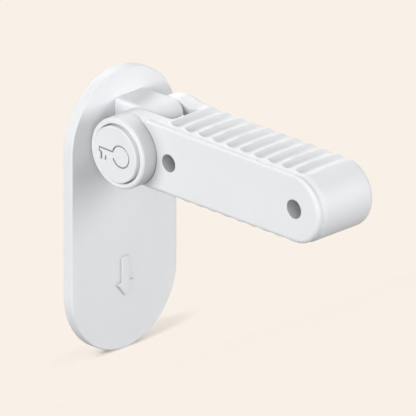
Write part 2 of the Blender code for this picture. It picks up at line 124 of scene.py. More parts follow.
def addTurned(shape, profile, y=0.0, z=0.0, steps=32):
    # a solid turned about a line along x, from the (x, radius) points of its half section
    rows = []
    for x, radius in profile:
        if radius == 0.0:
            rows.append([shape.verts.new((x, y, z))])
            continue
        ring = arcPoints(radius, 0.0, 360.0, steps, (y, z))[:-1]
        rows.append([shape.verts.new((x, *point)) for point in ring])
    for low, high in zip(rows, rows[1:]):
        for i in range(steps):
            j = (i + 1) % steps
            corners = low[:] if len(low) == 1 else [low[i], low[j]]
            corners += high[:] if len(high) == 1 else [high[j], high[i]]
            shape.faces.new(corners)
    return shape


def addRing(shape, profile, y=0.0, z=0.0, steps=32):
    # a closed ring about a line along x, from the (x, radius) corners of its section
    rows = []
    for x, radius in profile:
        ring = arcPoints(radius, 0.0, 360.0, steps, (y, z))[:-1]
        rows.append([shape.verts.new((x, *point)) for point in ring])
    for low, high in zip(rows, rows[1:] + rows[:1]):
        for i in range(steps):
            j = (i + 1) % steps
            shape.faces.new((low[i], low[j], high[j], high[i]))
    return shape


def rodProfile(start, end, radius):
    return [(start, 0.0), (start, radius), (end, radius), (end, 0.0)]


def looseObject(name, shape):
    bmesh.ops.recalc_face_normals(shape, faces=shape.faces)
    mesh = bpy.data.meshes.new(name)
    shape.to_mesh(mesh)
    shape.free()
    item = bpy.data.objects.new(name, mesh)
    bpy.context.scene.collection.objects.link(item)
    return item


def carve(shape, tool, operation):
    # one Boolean of two bmesh solids, given back as a new bmesh
    item = looseObject("carved", shape)
    other = looseObject("tool", tool)
    modifier = item.modifiers.new("carve", "BOOLEAN")
    modifier.operation = operation
    modifier.solver = "EXACT"
    modifier.object = other
    depsgraph = bpy.context.evaluated_depsgraph_get()
    result = bmesh.new()
    result.from_object(item, depsgraph)
    for made in (item, other):
        mesh = made.data
        bpy.data.objects.remove(made)
        bpy.data.meshes.remove(mesh)
    bmesh.ops.remove_doubles(result, verts=result.verts, dist=weldDistance)
    openEdges = [edge for edge in result.edges if edge.is_boundary]
    bmesh.ops.holes_fill(result, edges=openEdges, sides=mostHoleSides)
    return result


def softenEdges(shape, width, segments, leastDegrees=38.0, keep=None):
    # rounds the sharp outer edges that the Booleans left
    least = math.radians(leastDegrees)
    shape.normal_update()
    sharp = []
    for edge in shape.edges:
        if len(edge.link_faces) != 2 or not edge.is_convex:
            continue
        if edge.calc_face_angle(0.0) < least:
            continue
        if keep is None or all(keep(vert.co) for vert in edge.verts):
            sharp.append(edge)
    bmesh.ops.bevel(
        shape,
        geom=sharp,
        offset=width,
        offset_type="OFFSET",
        segments=segments,
        profile=0.5,
        affect="EDGES",
        clamp_overlap=False,
    )
    return shape


def placePiece(name, shape, origin, body, nodes, material):
    toMetres = Matrix.Diagonal((metresPerMm, metresPerMm, metresPerMm, 1.0))
    shape.transform(toMetres @ Matrix.Translation(origin))
    item = looseObject(name, shape)
    item.data.materials.append(material)
    item.data.shade_smooth()
    item.data.set_sharp_from_angle(angle=math.radians(sharpDegrees))
    weighted = item.modifiers.new("even shading", "WEIGHTED_NORMAL")
    weighted.keep_sharp = True
    weighted.weight = 90
    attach(item, body)
    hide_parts(*nodes)
    print("placed", name, "with", len(item.data.polygons), "faces")
    return item


# Materials

grainForm = {
    "detail": 3.0,
    "cloudSize": 60.0,
    "cloudDetail": 4.0,
    "cloudSpread": (0.3, 0.7),
    "roughShare": 3.0,
}


def makeGrainGroup():
    # moulded plastic: fine spark-etched grain, faint clouding and handling marks
    group = bpy.data.node_groups.new("mouldedGrain", "ShaderNodeTree")
    for name, kind, value in (
        ("Color", "NodeSocketColor", (0.8, 0.8, 0.8, 1.0)),
        ("Roughness", "NodeSocketFloat", 0.45),
        ("Grain Size", "NodeSocketFloat", 9000.0),
        ("Clouding", "NodeSocketFloat", 0.02),
    ):
        group.interface.new_socket(name, in_out="INPUT", socket_type=kind).default_value = value
    for name, kind in (
        ("Color", "NodeSocketColor"),
        ("Roughness", "NodeSocketFloat"),
        ("Height", "NodeSocketFloat"),
    ):
        group.interface.new_socket(name, in_out="OUTPUT", socket_type=kind)
    nodes, links = group.nodes, group.links
    given = nodes.new("NodeGroupInput")
    out = nodes.new("NodeGroupOutput")
    coords = nodes.new("ShaderNodeTexCoord")

    grain = nodes.new("ShaderNodeTexNoise")
    grain.inputs["Detail"].default_value = grainForm["detail"]
    links.new(coords.outputs["Object"], grain.inputs["Vector"])
    links.new(given.outputs["Grain Size"], grain.inputs["Scale"])
    links.new(grain.outputs["Fac"], out.inputs["Height"])

    cloud = nodes.new("ShaderNodeTexNoise")
    cloud.inputs["Scale"].default_value = grainForm["cloudSize"]
    cloud.inputs["Detail"].default_value = grainForm["cloudDetail"]
    links.new(coords.outputs["Object"], cloud.inputs["Vector"])
    spread = nodes.new("ShaderNodeMapRange")
    spread.inputs["From Min"].default_value = grainForm["cloudSpread"][0]
    spread.inputs["From Max"].default_value = grainForm["cloudSpread"][1]
    spread.inputs["To Min"].default_value = -1.0
    links.new(cloud.outputs["Fac"], spread.inputs["Value"])
    amount = nodes.new("ShaderNodeMath")
    amount.operation = "MULTIPLY"
    links.new(spread.outputs["Result"], amount.inputs[0])
    links.new(given.outputs["Clouding"], amount.inputs[1])

    shade = nodes.new("ShaderNodeHueSaturation")
    bright = nodes.new("ShaderNodeMath")
    bright.operation = "ADD"
    bright.inputs[1].default_value = 1.0
    links.new(amount.outputs["Value"], bright.inputs[0])
    links.new(bright.outputs["Value"], shade.inputs["Value"])
    links.new(given.outputs["Color"], shade.inputs["Color"])
    links.new(shade.outputs["Color"], out.inputs["Color"])

    rough = nodes.new("ShaderNodeMath")
    rough.operation = "MULTIPLY_ADD"
    rough.inputs[1].default_value = grainForm["roughShare"]
    links.new(amount.outputs["Value"], rough.inputs[0])
    links.new(given.outputs["Roughness"], rough.inputs[2])
    links.new(rough.outputs["Value"], out.inputs["Roughness"])
    return group


grainGroup = makeGrainGroup()
# how far and how strongly shade is painted into the crevices of each plastic piece
paintedCreviceShade = {"reach": 0.007, "open": 0.95, "shade": 0.33, "samples": 16}


def plasticMaterial(name, look):
    material = bpy.data.materials.new(name)
    material.use_nodes = True
    nodes, links = material.node_tree.nodes, material.node_tree.links
    shader = nodes["Principled BSDF"]
    shader.inputs["IOR"].default_value = look["ior"]
    shader.inputs["Specular IOR Level"].default_value = look["specular"]
    grain = nodes.new("ShaderNodeGroup")
    grain.node_tree = grainGroup
    grain.inputs["Color"].default_value = (*look["color"], 1.0)
    grain.inputs["Roughness"].default_value = look["roughness"]
    grain.inputs["Grain Size"].default_value = look["grainSize"]
    grain.inputs["Clouding"].default_value = look["clouding"]
    bump = nodes.new("ShaderNodeBump")
    bump.inputs["Strength"].default_value = look["grainStrength"]
    bump.inputs["Distance"].default_value = look["grainDepth"]
    # painted shade: the colour is darkened by the piece's own ambient occlusion, so deep tubes and
    # grooves of a piece go darker than its open faces
    occlusion = nodes.new("ShaderNodeAmbientOcclusion")
    occlusion.only_local = True
    occlusion.samples = paintedCreviceShade["samples"]
    occlusion.inputs["Distance"].default_value = paintedCreviceShade["reach"]
    shade = nodes.new("ShaderNodeMapRange")
    shade.inputs["From Max"].default_value = paintedCreviceShade["open"]
    shade.inputs["To Min"].default_value = paintedCreviceShade["shade"]
    paintedShade = nodes.new("ShaderNodeVectorMath")
    paintedShade.operation = "SCALE"
    links.new(occlusion.outputs["AO"], shade.inputs["Value"])
    links.new(grain.outputs["Color"], paintedShade.inputs[0])
    links.new(shade.outputs["Result"], paintedShade.inputs["Scale"])
    links.new(paintedShade.outputs["Vector"], shader.inputs["Base Color"])
    links.new(grain.outputs["Roughness"], shader.inputs["Roughness"])
    links.new(grain.outputs["Height"], bump.inputs["Height"])
    links.new(bump.outputs["Normal"], shader.inputs["Normal"])
    return material


plasticLook = {
    "color": (0.785, 0.795, 0.81),
    "roughness": 0.5,
    "ior": 1.46,
    "specular": 0.35,
    "grainSize": 5200.0,
    "grainStrength": 0.25,
    "grainDepth": 0.00002,
    "clouding": 0.012,
}
acetalLook = {
    "color": (0.36, 0.37, 0.39),
    "roughness": 0.5,
    "ior": 1.48,
    "specular": 0.35,
    "grainSize": 7000.0,
    "grainStrength": 0.3,
    "grainDepth": 0.00003,
    "clouding": 0.03,
}
whitePlastic = plasticMaterial("white plastic", plasticLook)
greyAcetal = plasticMaterial("grey acetal", acetalLook)

steelLook = {
    "color": (0.58, 0.58, 0.59),
    "roughness": 0.34,
    "roughnessSpread": 0.1,
    "sheenSize": 2600.0,
    "sheenDetail": 2.0,
}
foamLook = {
    "color": (0.74, 0.73, 0.70),
    "roughness": 0.85,
    "poreSize": 1500.0,
    "poreDepth": 0.00012,
    "porePaintedShade": 0.86,
    "poreWidth": 0.45,
    "poreStrength": 0.6,
}


def steelMaterial(look):
    # zinc-plated steel with a fine uneven sheen
    material = bpy.data.materials.new("screw steel")
    material.use_nodes = True
    nodes, links = material.node_tree.nodes, material.node_tree.links
    shader = nodes["Principled BSDF"]
    shader.inputs["Metallic"].default_value = 1.0
    shader.inputs["Base Color"].default_value = (*look["color"], 1.0)
    coords = nodes.new("ShaderNodeTexCoord")
    lines = nodes.new("ShaderNodeTexNoise")
    lines.inputs["Scale"].default_value = look["sheenSize"]
    lines.inputs["Detail"].default_value = look["sheenDetail"]
    links.new(coords.outputs["Object"], lines.inputs["Vector"])
    rough = nodes.new("ShaderNodeMapRange")
    rough.inputs["To Min"].default_value = look["roughness"] - look["roughnessSpread"]
    rough.inputs["To Max"].default_value = look["roughness"] + look["roughnessSpread"]
    links.new(lines.outputs["Fac"], rough.inputs["Value"])
    links.new(rough.outputs["Result"], shader.inputs["Roughness"])
    return material


def foamMaterial(look):
    # closed-cell tape: small pores that show as dimples, with painted shade that makes them slightly
    # darker spots
    material = bpy.data.materials.new("adhesive foam")
    material.use_nodes = True
    nodes, links = material.node_tree.nodes, material.node_tree.links
    shader = nodes["Principled BSDF"]
    shader.inputs["Roughness"].default_value = look["roughness"]
    coords = nodes.new("ShaderNodeTexCoord")
    pores = nodes.new("ShaderNodeTexVoronoi")
    pores.inputs["Scale"].default_value = look["poreSize"]
    links.new(coords.outputs["Object"], pores.inputs["Vector"])
    # painted shade: the colour goes darker in the pores' dimples
    poreShadePaint = nodes.new("ShaderNodeMix")
    poreShadePaint.data_type = "RGBA"
    poreShadePaint.inputs["A"].default_value = (*[c * look["porePaintedShade"] for c in look["color"]], 1.0)
    poreShadePaint.inputs["B"].default_value = (*look["color"], 1.0)
    spread = nodes.new("ShaderNodeMapRange")
    spread.inputs["From Max"].default_value = look["poreWidth"]
    links.new(pores.outputs["Distance"], spread.inputs["Value"])
    links.new(spread.outputs["Result"], poreShadePaint.inputs["Factor"])
    links.new(poreShadePaint.outputs["Result"], shader.inputs["Base Color"])
    bump = nodes.new("ShaderNodeBump")
    bump.inputs["Strength"].default_value = look["poreStrength"]
    bump.inputs["Distance"].default_value = look["poreDepth"]
    links.new(spread.outputs["Result"], bump.inputs["Height"])
    links.new(bump.outputs["Normal"], shader.inputs["Normal"])
    return material


screwSteel = steelMaterial(steelLook)
adhesiveFoam = foamMaterial(foamLook)
print("materials made")

# Plate on the door

plate = {
    "width": 48.0,
    "height": 97.0,
    "back": -0.5,
    "front": -4.5,
    "frontEdge": 0.5,
    "backEdge": 0.3,
    "roundSteps": 56,
    "padMargin": 2.7,
    "padFloor": -1.5,
}
arrow = {
    "top": -16.6,
    "barb": -25.4,
    "tip": -30.2,
    "shaft": 3.6,
    "head": 8.2,
    "cornerRound": 0.45,
    # (out of the plate, inset of the outline) up the arrow's wall
    "rise": (
        (0.4, -0.05),
        (0.0, -0.05),
        (-0.3, 0.0),
        (-0.52, 0.07),
        (-0.66, 0.2),
        (-0.72, 0.42),
    ),
}
blockScrews = {"x": 2.0, "rise": 8.5, "headSink": 3.1, "headHole": 3.0, "shankHole": 1.5}


def longOutline(margin, inset):
    radius = plate["width"] / 2 - margin
    straight = (plate["height"] - plate["width"]) / 2
    upper = arcPoints(radius - inset, 0.0, 180.0, plate["roundSteps"], (0.0, straight))
    return upper + [(-x, -z) for x, z in upper]


def buildPlate():
    rings = []
    for along, inset in roundOver(plate["frontEdge"], plate["frontEdge"], 6):
        rings.append([(x, plate["front"] + along, z) for x, z in longOutline(0.0, inset)])
    for along, inset in reversed(roundOver(plate["backEdge"], plate["backEdge"], 3)):
        rings.append([(x, plate["back"] - along, z) for x, z in longOutline(0.0, inset)])
    shape = addLoft(bmesh.new(), rings)

    recess = []
    for y in (cutPast, plate["padFloor"]):
        recess.append([(x, y, z) for x, z in longOutline(plate["padMargin"], 0.0)])
    shape = carve(shape, addLoft(bmesh.new(), recess), "DIFFERENCE")

    holes = bmesh.new()
    for rise in (blockScrews["rise"], -blockScrews["rise"]):
        steps = ((0.0, "headHole"), (-blockScrews["headSink"], "headHole"))
        steps += ((-blockScrews["headSink"], "shankHole"), (plate["front"] - cutPast, "shankHole"))
        centre = (blockScrews["x"], pivotPoint.z + rise)
        rings = []
        for y, radius in steps:
            ring = arcPoints(blockScrews[radius], 0.0, 360.0, 32, centre)
            rings.append([(x, y, z) for x, z in ring[:-1]])
        addLoft(holes, rings)
    shape = carve(shape, holes, "DIFFERENCE")
    return carve(shape, buildArrow(), "UNION")


def insetCorners(corners, inset):
    # corners of a clockwise polygon moved in by the same distance from each side
    moved = []
    for i, corner in enumerate(corners):
        here = Vector(corner)
        into = (here - Vector(corners[i - 1])).normalized()
        away = (Vector(corners[(i + 1) % len(corners)]) - here).normalized()
        sideIn, sideAway = Vector((into.y, -into.x)), Vector((away.y, -away.x))
        moved.append(here + (sideIn + sideAway) * (inset / (1 + sideIn.dot(sideAway))))
    return moved


def buildArrow():
    half, wide = arrow["shaft"] / 2, arrow["head"] / 2
    right = [(half, arrow["top"]), (half, arrow["barb"]), (wide, arrow["barb"])]
    right.append((0.0, arrow["tip"]))
    left = [(-wide, arrow["barb"]), (-half, arrow["barb"]), (-half, arrow["top"])]
    rings = []
    for lift, inset in arrow["rise"]:
        corners = insetCorners(right + left, inset)
        ring = roundedOutline(corners, arrow["cornerRound"], 5)
        rings.append([(x, plate["front"] + lift, z) for x, z in ring])
    return addLoft(bmesh.new(), rings)


placePiece("plate", buildPlate(), Vector(), "base", ["base_plate"], whitePlastic)

# Hinge block

block = {
    "near": -4.5,
    "far": 8.7,
    "noseRadius": 11.8,
    "seat": 13.8,
    "nearEdge": 1.3,
    "farEdge": 0.4,
    "roundSteps": 48,
    "cornerStart": (1.5, 1.8),
    "cornerPower": 1.25,
    "flank": 6.5,
    "flankBlend": 2.0,
    "middle": -1.0,
    "ringStart": 1.5,
    "ringStep": 0.6,
    "ringCount": 12,
    # (x, radius) along the chamber, which is plain here: the lock's teeth are in the solids
    "chamber": (
        (-6.0, 10.0),
        (2.5, 10.0),
        (2.5, 4.9),
        (4.9, 4.9),
        (4.9, 3.3),
        (10.0, 3.3),
    ),
    "pilotDepth": 5.7,
}


def noseReach(x, z):
    # how far out the nose reaches: its upper and lower far corners are cut back in a curve
    startX, startOut = block["cornerStart"]
    across = min(max((x - startX) / (block["far"] - startX), 0.0), 1.0)
    power = block["cornerPower"]
    cut = startOut + (block["noseRadius"] - startOut) * (1 - across**power) ** (1 / power)
    flank = smoothStep((block["flank"] - abs(z)) / block["flankBlend"])
    return cut + (block["noseRadius"] - cut) * flank


def buildBlock():
    rings = []
    nearEdge = roundOver(block["nearEdge"], block["nearEdge"], 7)
    stations = [(block["near"] + along, inset) for along, inset in nearEdge]
    stations.append((block["middle"], 0.0))
    for i in range(block["ringCount"]):
        stations.append((block["ringStart"] + block["ringStep"] * i, 0.0))
    farEdge = roundOver(block["farEdge"], block["farEdge"], 5)
    stations += [(block["far"] - along, inset) for along, inset in reversed(farEdge)]
    for x, inset in stations:
        radius = block["noseRadius"] - inset
        nose = arcPoints(radius, 90.0, 270.0, block["roundSteps"])
        section = [(-min(-y, noseReach(x, z)), z) for y, z in nose]
        section += [(block["seat"] / 2, -radius), (block["seat"], -radius)]
        section += [(block["seat"], radius), (block["seat"] / 2, radius)]
        rings.append([(x, y, z) for y, z in section])
    shape = addLoft(bmesh.new(), rings)

    first, last = block["chamber"][0], block["chamber"][-1]
    chamber = [(first[0], 0.0), *block["chamber"], (last[0], 0.0)]
    shape = carve(shape, addTurned(bmesh.new(), chamber, steps=64), "DIFFERENCE")
    pilots = bmesh.new()
    for rise in (blockScrews["rise"], -blockScrews["rise"]):
        rings = []
        for y in (block["seat"] + cutPast, block["seat"] - block["pilotDepth"]):
            centre = (blockScrews["x"], rise)
            ring = arcPoints(blockScrews["shankHole"], 0.0, 360.0, 24, centre)
            rings.append([(x, y, z) for x, z in ring[:-1]])
        addLoft(pilots, rings)
    return carve(shape, pilots, "DIFFERENCE")


placePiece(
    "hingeBlock", buildBlock(), pivotPoint, "base", ["hinge_block"], whitePlastic
)

# Arm: one side outline for the fork's body and for the cover on its near side

arm = {
    "half": 11.8,
    "reach": 73.8,
    "near": -11.6,
    "seam": -9.2,
    "far": 13.8,
    "hub": 11.97,
    "seamGap": 0.012,
    "seamWide": 1.75,
    "seamDeep": 0.5,
    "seamStart": 6.6,
    "seamRunIn": 2.4,
    "farEdge": 2.1,
    "insetBlend": 3,  # power that blends a flute into a rounded edge
    # distances along the arm where its outline has points: by the hub, then in even steps
    "hubRuns": (0.0, 0.7, 1.4, 2.1, 3.0, 3.9, 4.8, 5.6, 6.2, 6.4, 6.5, 6.6, 6.7, 6.8, 7.2)
    + (8.2, 9.2, 10.4, 11.6),
    "step": 0.19,
    "stepsStart": 12.6,
    "stepsEnd": 0.1,
    "tipSteps": 48,
    "earSteps": 64,
    # where the rings of the body lie: from the seam, at the flutes' near ends, and beyond them
    "seamRings": (0.0, 0.2, 0.4, 0.6, 0.8, 1.0, 1.2),
    "endRings": -7.9,
    "endRingStep": 0.2,
    "endRingCount": 13,
    "bodyRings": (-5.2, -4.1, -3.2, -2.0, -0.8, 0.5, 1.8, 3.0)
    + (4.0, 5.0, 6.0, 7.0, 8.0, 9.6, 10.3, 10.9),
}
# radius of the cover's near edge: wide round the collar, crisp on top, soft at the tip and below
coverEdge = {
    "hub": 2.6,
    "top": 0.85,
    "tip": 2.0,
    "under": 2.2,
    "from": 6.4,
    "to": 6.8,
    "rings": (0.0, 0.02, 0.07, 0.16, 0.28, 0.42, 0.6, 0.85)
    + (1.05, 1.25, 1.45, 1.65, 1.85, 2.05, 2.2),
}
# the far ear rises a little above the arm, round a point out from the pivot
farEar = {
    "radius": 13.1,
    "out": 3.0,
    "down": 0.2,
    "blend": 0.8,
    "from": 8.4,
    "to": 12.0,
    "last": -20.0,
}
# and it dips beside the nose
earDip = {"depth": 1.35, "from": (1.0, 6.0), "to": (9.9, 12.9), "fade": (8.85, 13.0)}
# the fluted top falls away a little towards the far edge
topSlope = {
    "fall": 0.2,
    "start": 3.0,
    "width": 9.0,
    "runIn": (9.5, 3.5),
    "runOut": 9.0,
}
topFlutes = {
    "count": 10,
    "first": 16.0,
    "pitch": 6.24,
    "halfWidth": 3.05,
    "depth": 1.25,
    "nearEnd": -8.0,
    "crest": 0.24,
    "fade": 0.4,
}
underFlutes = {
    "count": 10,
    "first": 15.7,
    "pitch": 5.98,
    "halfWidth": 2.85,
    "depth": 0.7,
    "nearEnd": -99.0,  # these run out through the near face
    "crest": 0.2,
    "fade": 0.0,
}
# length of a flute's rounded near end, how far the flutes bow, the low lip round their near
# ends, and where they go shallower towards the far edge
fluteForm = {
    "end": 2.4,
    "bow": 0.0095,
    "bowCentre": 2.0,
    "lip": 0.13,
    "lipAt": 1.14,
    "lipWidth": 0.12,
    "fadeStart": 5.0,
    "fadeLength": 8.0,
}


def armOutline():
    # (y, z, run, side): run is the distance along the arm, side is 1 on top and -1 underneath
    half, reach = arm["half"], arm["reach"]
    runs = list(arm["hubRuns"])
    steps = int((reach - arm["stepsEnd"] - arm["stepsStart"]) / arm["step"])
    runs += [arm["stepsStart"] + arm["step"] * i for i in range(steps + 1)]
    upper = []
    for run in runs:
        hubHeight = math.sqrt(max(arm["hub"] ** 2 - run * run, 0.0))
        upper.append((-run, max(hubHeight, half), run, 1))
    tip = []
    for y, z in arcPoints(half, 90.0, 270.0, arm["tipSteps"], (-reach, 0.0)):
        run = reach + half * math.acos(min(abs(z) / half, 1.0))
        tip.append((y, z, run, 1 if z >= 0 else -1))
    lower = [(y, -z, run, -1) for y, z, run, side in reversed(upper)]
    ear = [(y, z, -y, 0) for y, z in arcPoints(arm["hub"], -90.0, 90.0, arm["earSteps"])]
    return upper + tip + lower + ear[1:-1]


outline = armOutline()
outlineOut = outlineNormals([(y, z) for y, z, run, side in outline])


def fluteDepth(run, x, side):
    # depth of the flute here, and height of the low lip round its near end
    if side == 0:
        return 0.0, 0.0
    flutes = topFlutes if side > 0 else underFlutes
    if side > 0:
        run -= fluteForm["bow"] * (x - fluteForm["bowCentre"]) ** 2
    nearest = round((run - flutes["first"]) / flutes["pitch"])
    nearest = min(max(nearest, 0), flutes["count"] - 1)
    away = run - flutes["first"] - nearest * flutes["pitch"]
    before = min((x - flutes["nearEnd"]) / fluteForm["end"] - 1, 0.0)
    across = math.hypot(away / flutes["halfWidth"], before)
    depth = softMax(flutes["depth"] * (1 - across * across), 0.0, flutes["crest"])
    fade = smoothStep((x - fluteForm["fadeStart"]) / fluteForm["fadeLength"])
    depth *= 1 - flutes["fade"] * fade
    outside = (across - fluteForm["lipAt"]) / fluteForm["lipWidth"]
    return depth, fluteForm["lip"] * math.exp(-outside * outside) * smoothStep(-2 * before)


def earDrop(run, x, side):
    if side == 0:
        return 0.0
    (start, full), (leave, end), (near, far) = earDip["from"], earDip["to"], earDip["fade"]
    along = smoothStep((run - start) / (full - start)) * smoothStep((end - run) / (end - leave))
    return earDip["depth"] * along * smoothStep((far - x) / (far - near))


def farEarRise(y, z, x):
    # how far the far ear stands out of the arm's outline here
    share = smoothStep((x - farEar["from"]) / (farEar["to"] - farEar["from"]))
    if share == 0.0 or y < farEar["last"]:
        return 0.0
    out, down = farEar["out"], -math.copysign(farEar["down"], z)
    if y < 0:
        level = math.sqrt(max(farEar["radius"] ** 2 - (-y - out) ** 2, 0.0)) - farEar["down"]
    else:
        along = (-y * out + z * down) / arm["half"]
        level = along + math.sqrt(farEar["radius"] ** 2 - out * out - down * down + along * along)
    return share * (softMax(level, arm["half"], farEar["blend"]) - arm["half"])


def topFall(run, x, side):
    if side < 1 or x < topSlope["start"]:
        return 0.0
    (start, length), end = topSlope["runIn"], topSlope["runOut"]
    along = smoothStep((run - start) / length) * smoothStep((arm["reach"] + end - run) / end)
    return topSlope["fall"] * along * ((x - topSlope["start"]) / topSlope["width"]) ** 2


def seamInset(x, run, side):
    # a shallow valley runs along the seam of cover and body, from beside the collar on
    start = smoothStep((run - arm["seamStart"]) / arm["seamRunIn"]) if side else 0.0
    return start * arm["seamDeep"] * (1 - smoothStep(abs(x - arm["seam"]) / arm["seamWide"]))


def pastCollar(run, side):
    # 0 round the collar, 1 where the cover's own edge runs
    share = (run - coverEdge["from"]) / (coverEdge["to"] - coverEdge["from"])
    return smoothStep(share) if side else 0.0


def nearRound(x, run, side):
    # inset of the cover's outline on its rounded near edge
    straight = coverEdge["top"] if side > 0 else coverEdge["under"]
    tip = smoothStep((run - arm["reach"]) / (arm["half"] * math.pi / 2))
    radius = straight + (coverEdge["tip"] - straight) * tip
    radius = coverEdge["hub"] + (radius - coverEdge["hub"]) * pastCollar(run, side)
    into = max(radius - (x - arm["near"]), 0.0)
    return radius - math.sqrt(radius * radius - into * into)


def armRing(x, far=0.0, cover=False):
    # far: inset on the rounded far edge
    power = arm["insetBlend"]
    ring = []
    for (y, z, run, side), (ny, nz) in zip(outline, outlineOut):
        depth, lip = (0.0, 0.0) if cover and side > 0 else fluteDepth(run, x, side)
        inset = far + seamInset(x, run, side) + (nearRound(x, run, side) if cover else 0.0)
        drop = (depth**power + inset**power) ** (1 / power) - lip
        drop = drop - farEarRise(y, z, x) + topFall(run, x, side)
        drop += earDrop(run, x, side) if x > 0 else 0.0
        ring.append((x, y - ny * drop, z - nz * drop))
    return ring


fork = {
    "near": -4.65,
    "far": 8.85,
    "end": 12.2,
    "nearCorner": 2.0,
    "farCorner": 0.7,
    "edge": 0.4,
    "edgeReach": 0.05,
    "through": 20.0,
}
pivotEyes = {"near": 10.0, "far": 2.3, "farEnd": 13.0}
screwTubes = {
    "places": (17.6, 73.8),
    # out, up and radius of each tube's mouth
    "bores": ((17.35, 0.0, 2.95), (74.0, 0.3, 3.2)),
    "outer": 4.0,
    "relief": 4.3,
    "end": -1.6,
    "endGap": 0.3,
    "floor": -3.0,
    "shankHole": 1.5,
    "pilotEnd": 7.0,
    "rim": 0.3,
    "mouthReach": 0.1,
    "faceReach": 0.01,
}


def buildArmBody():
    # left solid inside, where the solids' arm is hollow
    rings = [armRing(arm["seam"] + along) for along in arm["seamRings"]]
    for i in range(arm["endRingCount"]):
        rings.append(armRing(arm["endRings"] + arm["endRingStep"] * i))
    rings += [armRing(x) for x in arm["bodyRings"]]
    farEdge = roundOver(arm["farEdge"], arm["farEdge"], 8)
    rings += [armRing(arm["far"] - along, far=inset) for along, inset in reversed(farEdge)]
    shape = addLoft(bmesh.new(), rings)

    near, far = fork["nearCorner"], fork["farCorner"]
    plan = arcPoints(near, 180.0, 270.0, 10, (fork["near"] + near, -fork["end"] + near))
    plan += arcPoints(far, 270.0, 360.0, 6, (fork["far"] - far, -fork["end"] + far))
    through = fork["through"]
    plan += [(fork["far"], through), (fork["near"], through)]
    slot = addLoft(bmesh.new(), [[(x, y, z) for x, y in plan] for z in (-through, through)])
    shape = carve(shape, slot, "DIFFERENCE")
    softFrom, softTo = fork["near"] - fork["edgeReach"], fork["far"] + fork["edgeReach"]
    softenEdges(shape, fork["edge"], 4, keep=lambda co: softFrom < co.x < softTo)

    mouth = arm["seam"] - cutPast
    nearEye = rodProfile(mouth, fork["near"] + cutPast, pivotEyes["near"])
    eyes = addTurned(bmesh.new(), nearEye, steps=64)
    addTurned(eyes, rodProfile(fork["far"] - cutPast, pivotEyes["farEnd"], pivotEyes["far"]))
    ledge, shank = screwTubes["end"] + screwTubes["endGap"], screwTubes["shankHole"]
    for place in screwTubes["places"]:
        tube = [(mouth, 0.0), (mouth, screwTubes["relief"]), (ledge, screwTubes["relief"])]
        tube += [(ledge, shank), (screwTubes["pilotEnd"], shank), (screwTubes["pilotEnd"], 0.0)]
        addTurned(eyes, tube, -place)
    return carve(shape, eyes, "DIFFERENCE")


placePiece(
    "armBody", buildArmBody(), pivotPoint, "arm", ["arm_body"], whitePlastic
)

# Cover with the button's collar

collar = {
    "rim": -17.6,
    "radius": 12.0,
    "rimRound": 1.15,
    "bore": 10.0,
    "boreRound": 0.8,
    "crease": (0.22, 0.35),
    "creaseLap": (0.02, 0.03),
    "cupFloor": -9.4,
    "webBack": -7.4,
    "sleeve": 9.7,
    "sleeveBore": 8.0,
    "sleeveEnd": -3.2,
    "keyRadius": 4.5,
    "keyFlat": 3.4,
}


def atTubeMouth(co):
    # on the near face, at the mouth of one of the two screw tubes
    if abs(co.x - arm["near"]) >= screwTubes["faceReach"]:
        return False
    for out, up, bore in screwTubes["bores"]:
        if math.hypot(co.y + out, co.z - up) < bore + screwTubes["mouthReach"]:
            return True
    return False


def buildArmCover():
    rings = [armRing(arm["near"] + along, cover=True) for along in coverEdge["rings"]]
    rings.append(armRing(arm["seam"] - arm["seamGap"], cover=True))
    shape = addLoft(bmesh.new(), rings)

    root = arm["near"] + cutPast
    rolled = roundOver(collar["rimRound"], collar["rimRound"], 6)
    rim = [(collar["rim"] + along, collar["radius"] - inset) for along, inset in rolled]
    barrel = [(collar["rim"], 0.0), *rim, (root, collar["radius"]), (root, collar["sleeve"])]
    barrel += [(collar["sleeveEnd"], collar["sleeve"]), (collar["sleeveEnd"], 0.0)]
    raised = addTurned(bmesh.new(), barrel, steps=112)
    for place in screwTubes["places"]:
        addTurned(raised, rodProfile(root, screwTubes["end"], screwTubes["outer"]), -place)
    shape = carve(shape, raised, "UNION")

    # the rim rolls over into the bore
    rolled = roundOver(collar["boreRound"], collar["boreRound"], 9)
    lip = [(collar["rim"] + along, collar["bore"] + inset) for along, inset in rolled]
    above = collar["rim"] - cutPast
    cup = [(above, 0.0), (above, lip[0][1]), *lip, (collar["cupFloor"], collar["bore"])]
    hollow = addTurned(bmesh.new(), [*cup, (collar["cupFloor"], 0.0)], steps=112)
    sleeve = rodProfile(collar["webBack"], collar["sleeveEnd"] + cutPast, collar["sleeveBore"])
    addTurned(hollow, sleeve, steps=64)
    mouth, end, shank = arm["near"] - cutPast, screwTubes["end"] + cutPast, screwTubes["shankHole"]
    for out, up, bore in screwTubes["bores"]:
        hole = [(mouth, 0.0), (mouth, bore), (screwTubes["floor"], bore)]
        hole += [(screwTubes["floor"], shank), (end, shank), (end, 0.0)]
        addTurned(hollow, hole, -out, up, steps=48)
    shape = carve(shape, hollow, "DIFFERENCE")
    softenEdges(shape, screwTubes["rim"], 4, keep=atTubeMouth)

    # a fine crease round the foot of the collar
    (wide, deep), (lapX, lapRound) = collar["crease"], collar["creaseLap"]
    top, bottom = arm["near"] - lapX, arm["near"] + deep
    inner, outer = collar["radius"] - lapRound, collar["radius"] + wide
    ring = [(top, inner), (bottom, inner), (bottom, outer), (top, outer)]
    shape = carve(shape, addRing(bmesh.new(), ring, steps=112), "DIFFERENCE")

    lean = math.degrees(math.asin(collar["keyFlat"] / collar["keyRadius"]))
    right = arcPoints(collar["keyRadius"], -lean, lean, 8)
    key = right + [(-y, -z) for y, z in right]
    ends = (collar["cupFloor"] - cutPast, collar["webBack"] + cutPast)
    keyway = addLoft(bmesh.new(), [[(x, y, z) for y, z in key] for x in ends])
    return carve(shape, keyway, "DIFFERENCE")


placePiece(
    "armCover", buildArmCover(), pivotPoint, "arm", ["arm_cover"], whitePlastic
)

# Button with its key sign

